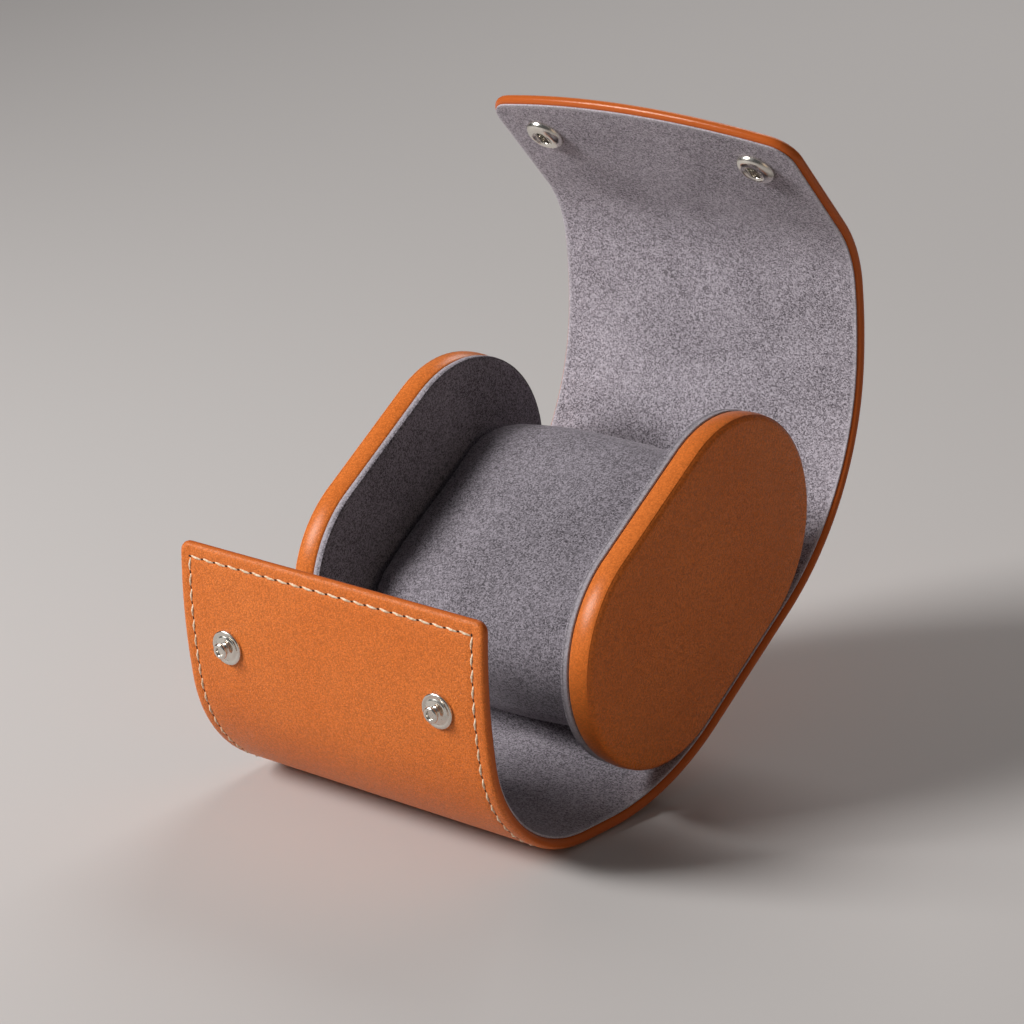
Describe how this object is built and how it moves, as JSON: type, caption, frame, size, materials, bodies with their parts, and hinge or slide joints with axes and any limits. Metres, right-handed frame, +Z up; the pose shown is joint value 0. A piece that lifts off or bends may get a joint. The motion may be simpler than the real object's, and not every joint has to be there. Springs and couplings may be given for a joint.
{
  "type": "watch storage case",
  "caption": "Roll-type leather case for a wristwatch: a stiffened wrap that folds round obround cheeks and a suede pillow and snaps shut with press studs.",
  "frame": {"origin": "middle of the flat underside of the foot panel, on the table", "axes": "+X to the right seen from the front, +Y to the back, +Z up"},
  "size_m": [0.076, 0.1266, 0.1292],
  "materials": {
    "tan_leather": "satin",
    "grey_suede": "matte",
    "spring_steel": "satin",
    "grey_board": "matte",
    "foam": "matte",
    "nickel": "polished"
  },
  "bodies": {
    "foot": {"foot_leather": "tan_leather", "foot_plate": "spring_steel", "foot_lining": "grey_suede"},
    "flap": {"flap_leather": "tan_leather", "flap_plate": "spring_steel", "flap_lining": "grey_suede", "snap_studs": "nickel", "snap_eyelets": "nickel"},
    "back": {"back_leather": "tan_leather", "back_board": "grey_board", "back_lining": "grey_suede", "spine_board": "grey_board", "spine_cover": "grey_suede", "left_cheek_leather": "tan_leather", "left_cheek_board": "grey_board", "left_cheek_pad": "grey_suede", "right_cheek_leather": "tan_leather", "right_cheek_board": "grey_board", "right_cheek_pad": "grey_suede"},
    "lid_lower": {"lid_lower_leather": "tan_leather", "lid_lower_board": "grey_board", "lid_lower_lining": "grey_suede"},
    "lid_middle": {"lid_middle_leather": "tan_leather", "lid_middle_board": "grey_board", "lid_middle_lining": "grey_suede"},
    "lid_upper": {"lid_upper_leather": "tan_leather", "lid_upper_board": "grey_board", "lid_upper_lining": "grey_suede"},
    "lid_end": {"lid_end_leather": "tan_leather", "lid_end_board": "grey_board", "lid_end_lining": "grey_suede", "snap_sockets": "nickel", "snap_springs": "nickel", "snap_caps": "nickel"},
    "pillow": {"pillow_cover": "grey_suede", "pillow_foam": "foam"}
  },
  "joints": [
    {"name": "back_fold", "type": "hinge", "parent": "foot", "child": "back", "pos_m": [0, 0.01756, 0.00511], "axis": [1, 0, 0], "range_deg": [0, 25.7]},
    {"name": "flap_fold", "type": "hinge", "parent": "foot", "child": "flap", "pos_m": [0, -0.00705, 0.0025], "axis": [-1, 0, 0], "range_deg": [0, 31.6]},
    {"name": "lid_fold_1", "type": "hinge", "parent": "back", "child": "lid_lower", "pos_m": [0, 0.05614, 0.03154], "axis": [1, 0, 0], "range_deg": [0, 22.64]},
    {"name": "lid_fold_2", "type": "hinge", "parent": "lid_lower", "child": "lid_middle", "pos_m": [0, 0.06887, 0.04544], "axis": [1, 0, 0], "range_deg": [0, 22.89]},
    {"name": "lid_fold_3", "type": "hinge", "parent": "lid_middle", "child": "lid_upper", "pos_m": [0, 0.07651, 0.06431], "axis": [1, 0, 0], "range_deg": [0, 24.41]},
    {"name": "lid_fold_4", "type": "hinge", "parent": "lid_upper", "child": "lid_end", "pos_m": [0, 0.07157, 0.10227], "axis": [1, 0, 0], "range_deg": [0, 14.49]},
    {"name": "pillow_lift", "type": "slide", "parent": "back", "child": "pillow", "axis": [0, -0.5664, 0.8241], "range_m": [0, 0.07]}
  ],
  "couplings": [
    {"joint": "flap_fold", "follows": "back_fold", "ratio": 1.2296},
    {"joint": "lid_fold_2", "follows": "lid_fold_1", "ratio": 1.0108},
    {"joint": "lid_fold_3", "follows": "lid_fold_1", "ratio": 1.0778},
    {"joint": "lid_fold_4", "follows": "lid_fold_1", "ratio": 0.63985}
  ]
}
